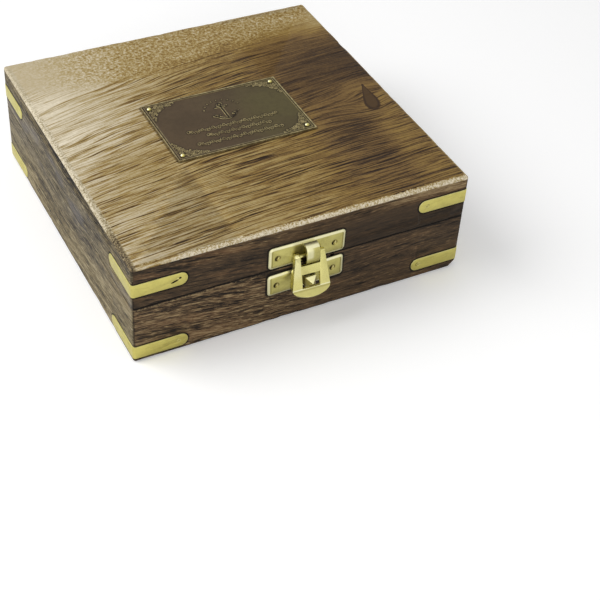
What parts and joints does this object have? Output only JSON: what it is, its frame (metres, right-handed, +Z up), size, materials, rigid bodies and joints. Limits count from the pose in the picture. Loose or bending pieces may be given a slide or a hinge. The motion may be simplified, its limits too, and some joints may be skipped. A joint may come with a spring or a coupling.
{
  "type": "compass box",
  "caption": "Low square wooden box with a hinged lid, let-in brass corner straps, a nailed plaque on the lid and a hasp latch over a stud on the front.",
  "frame": {"origin": "centre of the flat underside", "axes": "+Z up through the lid, -Y towards the latch at the front, +X to the right seen from the front"},
  "size_m": [0.1654, 0.1821, 0.0545],
  "materials": {
    "top_wood": "matt stained hardwood, long dark grain along X",
    "side_wood": "satin dark stained hardwood, grain along each wall",
    "bottom_wood": "matt stained hardwood",
    "felt": "short felt nap",
    "strap_brass": "satin, rubbed",
    "latch_brass": "polished",
    "plaque_bronze": "aged, dark patina",
    "nail_brass": "worn",
    "hinge_brass": "satin"
  },
  "bodies": {
    "base": {"base_back_wall": "side_wood", "base_bottom_board": "bottom_wood", "base_front_wall": "side_wood", "base_left_wall": "side_wood", "base_lining": "felt", "base_right_wall": "side_wood", "base_strap_back_left": "strap_brass", "base_strap_back_right": "strap_brass", "base_strap_front_left": "strap_brass", "base_strap_front_right": "strap_brass", "base_strap_nails": "strap_brass", "hinge_base_screws": "hinge_brass", "latch_lower_nails": "latch_brass", "latch_lower_plate": "latch_brass", "latch_stud": "latch_brass", "left_hinge_base_leaf": "hinge_brass", "left_hinge_pin": "hinge_brass", "right_hinge_base_leaf": "hinge_brass", "right_hinge_pin": "hinge_brass"},
    "lid": {"hinge_lid_screws": "hinge_brass", "latch_pin": "latch_brass", "latch_upper_nails": "latch_brass", "latch_upper_plate": "latch_brass", "left_hinge_lid_leaf": "hinge_brass", "lid_back_wall": "side_wood", "lid_front_wall": "side_wood", "lid_left_wall": "side_wood", "lid_lining": "felt", "lid_right_wall": "side_wood", "lid_strap_back_left": "strap_brass", "lid_strap_back_right": "strap_brass", "lid_strap_front_left": "strap_brass", "lid_strap_front_right": "strap_brass", "lid_strap_nails": "strap_brass", "lid_top_board": "top_wood", "plaque": "plaque_bronze", "plaque_nails": "nail_brass", "right_hinge_lid_leaf": "hinge_brass"},
    "hasp": {"latch_hasp": "latch_brass"}
  },
  "joints": [
    {"name": "lid_hinge", "type": "hinge", "parent": "base", "child": "lid", "pos_m": [0, 0.0858, 0.0307], "axis": [-1, 0, 0], "range_deg": [0, 180]},
    {"name": "hasp_swing", "type": "hinge", "parent": "lid", "child": "hasp", "pos_m": [-0.00035, -0.0863, 0.0366], "axis": [-1, 0, 0], "range_deg": [0, 95]}
  ]
}
